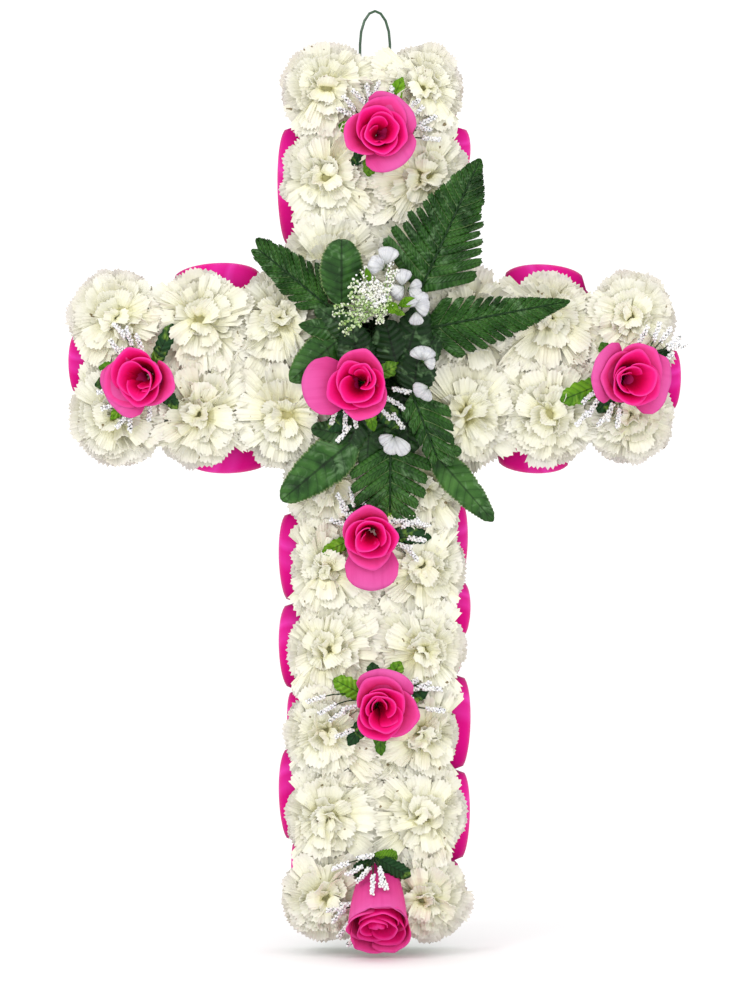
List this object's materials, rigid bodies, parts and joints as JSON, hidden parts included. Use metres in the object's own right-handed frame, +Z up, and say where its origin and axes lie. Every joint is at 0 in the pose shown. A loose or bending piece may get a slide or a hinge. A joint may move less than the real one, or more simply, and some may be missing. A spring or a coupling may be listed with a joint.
{
  "type": "artificial flower memorial cross",
  "caption": "Artificial flower memorial cross: white carnations and pink roses on a foam cross, edged with satin ribbon, hung from a wire loop.",
  "frame": {"origin": "where the wire loop bears on its nail or hook, in the middle of the wire", "axes": "+Z up, the flowers face -Y and the flat back faces +Y, +X to the right seen from the front"},
  "size_m": [0.4445, 0.1036, 0.6747],
  "materials": {
    "foam": "dry foam, matte",
    "coated_wire": "green plastic coat",
    "carnation_fabric": "crisp pleated fabric",
    "ribbon_satin": "glossy satin",
    "rose_petals": "soft matte petals",
    "fresh_green_leaf": "coated fabric leaf",
    "dark_green_leaf": "embossed coated fabric leaf",
    "blossom_white": "matte soft plastic"
  },
  "bodies": {
    "root": {"blossom_sprig": "blossom_white", "carnation_arm_low_left_1": "carnation_fabric", "carnation_arm_low_left_2": "carnation_fabric", "carnation_arm_low_left_3": "carnation_fabric", "carnation_arm_low_right_1": "carnation_fabric", "carnation_arm_low_right_2": "carnation_fabric", "carnation_arm_low_right_3": "carnation_fabric", "carnation_arm_top_left_1": "carnation_fabric", "carnation_arm_top_left_2": "carnation_fabric", "carnation_arm_top_left_3": "carnation_fabric", "carnation_arm_top_right_1": "carnation_fabric", "carnation_arm_top_right_2": "carnation_fabric", "carnation_arm_top_right_3": "carnation_fabric", "carnation_lower_left_1": "carnation_fabric", "carnation_lower_left_2": "carnation_fabric", "carnation_lower_left_3": "carnation_fabric", "carnation_lower_left_4": "carnation_fabric", "carnation_lower_left_5": "carnation_fabric", "carnation_lower_left_6": "carnation_fabric", "carnation_lower_right_1": "carnation_fabric", "carnation_lower_right_2": "carnation_fabric", "carnation_lower_right_3": "carnation_fabric", "carnation_lower_right_4": "carnation_fabric", "carnation_lower_right_5": "carnation_fabric", "carnation_lower_right_6": "carnation_fabric", "carnation_upper_left_1": "carnation_fabric", "carnation_upper_left_2": "carnation_fabric", "carnation_upper_left_3": "carnation_fabric", "carnation_upper_right_1": "carnation_fabric", "carnation_upper_right_2": "carnation_fabric", "carnation_upper_right_3": "carnation_fabric", "fern_left": "dark_green_leaf", "fern_lower": "dark_green_leaf", "fern_right": "dark_green_leaf", "fern_top": "dark_green_leaf", "foam_cross": "foam", "hanging_loop": "coated_wire", "leaf_left": "dark_green_leaf", "leaf_lobed": "dark_green_leaf", "leaf_lower_left": "dark_green_leaf", "leaf_lower_right": "dark_green_leaf", "leaf_round": "dark_green_leaf", "rose_below_crossing": "rose_petals", "rose_below_crossing_pick": "fresh_green_leaf", "rose_centre": "rose_petals", "rose_centre_pick": "fresh_green_leaf", "rose_crown": "rose_petals", "rose_crown_pick": "fresh_green_leaf", "rose_foot": "rose_petals", "rose_foot_pick": "fresh_green_leaf", "rose_left": "rose_petals", "rose_left_pick": "fresh_green_leaf", "rose_middle": "rose_petals", "rose_middle_pick": "fresh_green_leaf", "rose_right": "rose_petals", "rose_right_pick": "fresh_green_leaf", "satin_ribbon_left": "ribbon_satin", "satin_ribbon_right": "ribbon_satin"}
  },
  "joints": []
}
